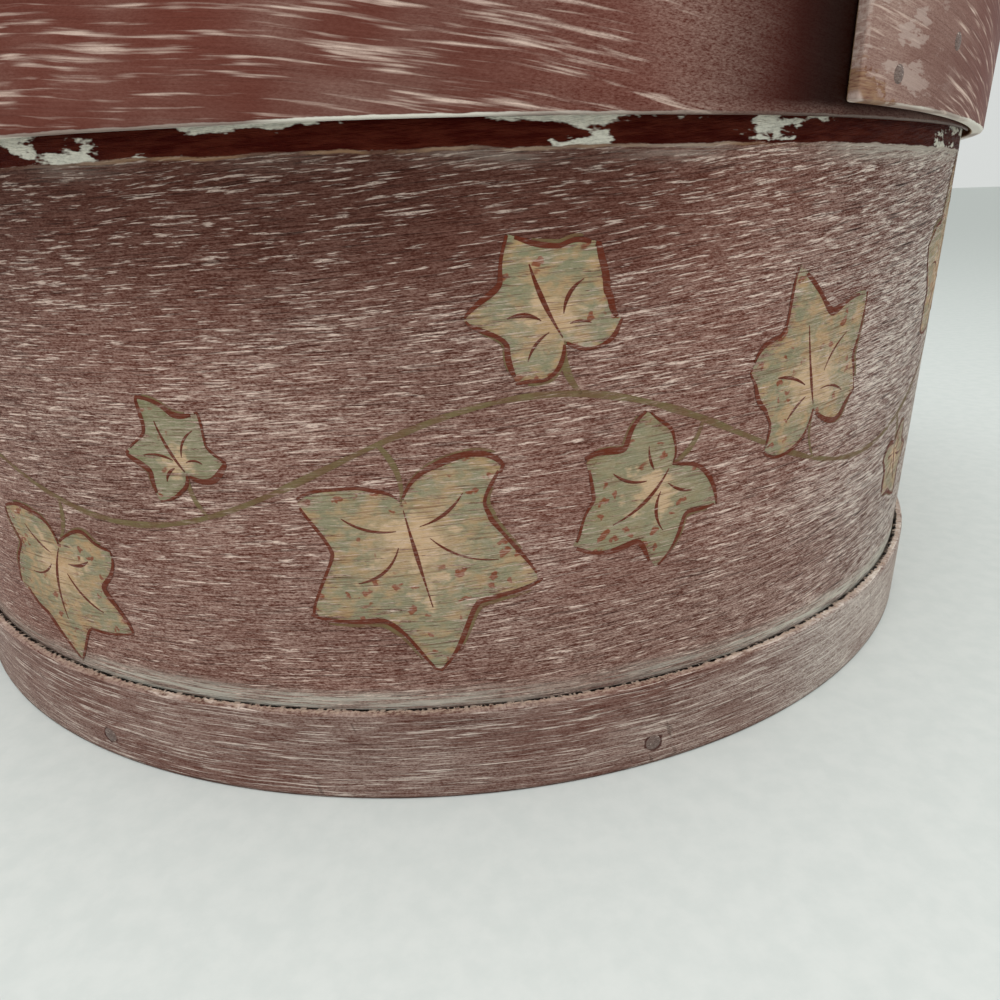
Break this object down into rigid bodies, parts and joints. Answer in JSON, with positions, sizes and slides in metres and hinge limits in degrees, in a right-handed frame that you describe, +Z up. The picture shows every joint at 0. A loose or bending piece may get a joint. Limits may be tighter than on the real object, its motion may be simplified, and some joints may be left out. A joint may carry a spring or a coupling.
{
  "type": "hatbox",
  "caption": "Round bentwood hatbox with a lapped wall, a nailed bottom hoop and a lift-off lid with a deep lapped rim, in a limed red-brown finish.",
  "frame": {"origin": "centre of the underside, on the table", "axes": "+Z up along the axis of the round box, -Y towards the side that the picture shows"},
  "size_m": [0.393, 0.393, 0.214],
  "materials": {
    "wall_wood": "limed red-brown paint, worn, with painted leaves",
    "hoop_wood": "limed red-brown paint, worn",
    "lid_wood": "red-brown paint with dry-brushed lime wash",
    "bare_wood": "bare, aged",
    "nail_steel": "painted over with the box"
  },
  "bodies": {
    "box": {"body_wall": "wall_wood", "wall_lap_tacks": "nail_steel", "bottom_plank_front": "bare_wood", "bottom_plank_middle": "bare_wood", "bottom_plank_back": "bare_wood", "bottom_dowels": "bare_wood", "bottom_hoop": "hoop_wood", "hoop_lap_tacks": "nail_steel", "hoop_nails": "nail_steel"},
    "lid": {"lid_rim": "lid_wood", "rim_lap_tacks": "nail_steel", "lid_plank_front": "lid_wood", "lid_plank_middle": "lid_wood", "lid_plank_back": "lid_wood", "lid_dowels": "bare_wood", "rim_nails": "nail_steel"}
  },
  "joints": [
    {"name": "lid_lift", "type": "slide", "parent": "box", "child": "lid", "axis": [0, 0, 1], "range_m": [0, 0.12]}
  ]
}
